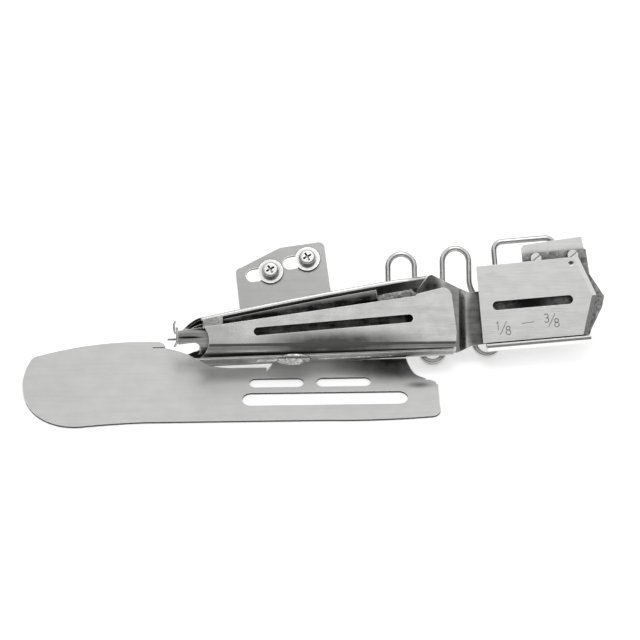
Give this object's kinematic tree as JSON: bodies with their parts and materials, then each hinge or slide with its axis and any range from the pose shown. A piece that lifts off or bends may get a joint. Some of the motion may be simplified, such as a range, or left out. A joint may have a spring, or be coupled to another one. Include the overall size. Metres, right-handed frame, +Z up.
{
  "type": "right angle binder",
  "caption": "Sheet-metal sewing binder that folds flat tape, turns it through a right angle at its mouth and lays it round the edge of a fabric.",
  "frame": {"origin": "centre of the long slot, on the underside of the bed plate", "axes": "+X along the long slot to the right, away from the folder's mouth; +Y away from the operator, under the folder; +Z up from the machine bed"},
  "size_m": [0.1963, 0.0621, 0.0328],
  "materials": {
    "polished_steel": "nickel plated and polished, with fine buffing marks",
    "satin_steel": "nickel plated over a finely ground sheet",
    "raw_steel": "dull and mottled, only tumbled",
    "steel_wire": "drawn wire, nickel plated",
    "screw_steel": "turned and nickel plated",
    "solder": "soft solder, scraped and a little dull"
  },
  "bodies": {
    "root": {"bed_plate": "satin_steel", "face_shell": "polished_steel", "back_shell": "polished_steel", "inner_scroll": "polished_steel", "hem_tongue": "polished_steel", "turning_blade": "polished_steel", "hem_blade": "polished_steel", "turning_pin": "steel_wire", "mounting_bracket": "satin_steel", "bracket_washer_left": "screw_steel", "bracket_washer_right": "screw_steel", "bracket_screw_left": "screw_steel", "bracket_screw_right": "screw_steel", "bracket_nut_left": "screw_steel", "bracket_nut_right": "screw_steel", "wire_loop_left": "steel_wire", "wire_loop_right": "steel_wire", "wire_guide": "steel_wire", "guide_back_plate": "raw_steel", "guide_front_plate": "polished_steel", "guide_spacer": "raw_steel", "edge_guide": "satin_steel", "edge_guide_screw_left": "screw_steel", "edge_guide_screw_right": "screw_steel", "solder_lip_end": "solder", "solder_channel_floor": "solder", "solder_front_seam": "solder"}
  },
  "joints": []
}
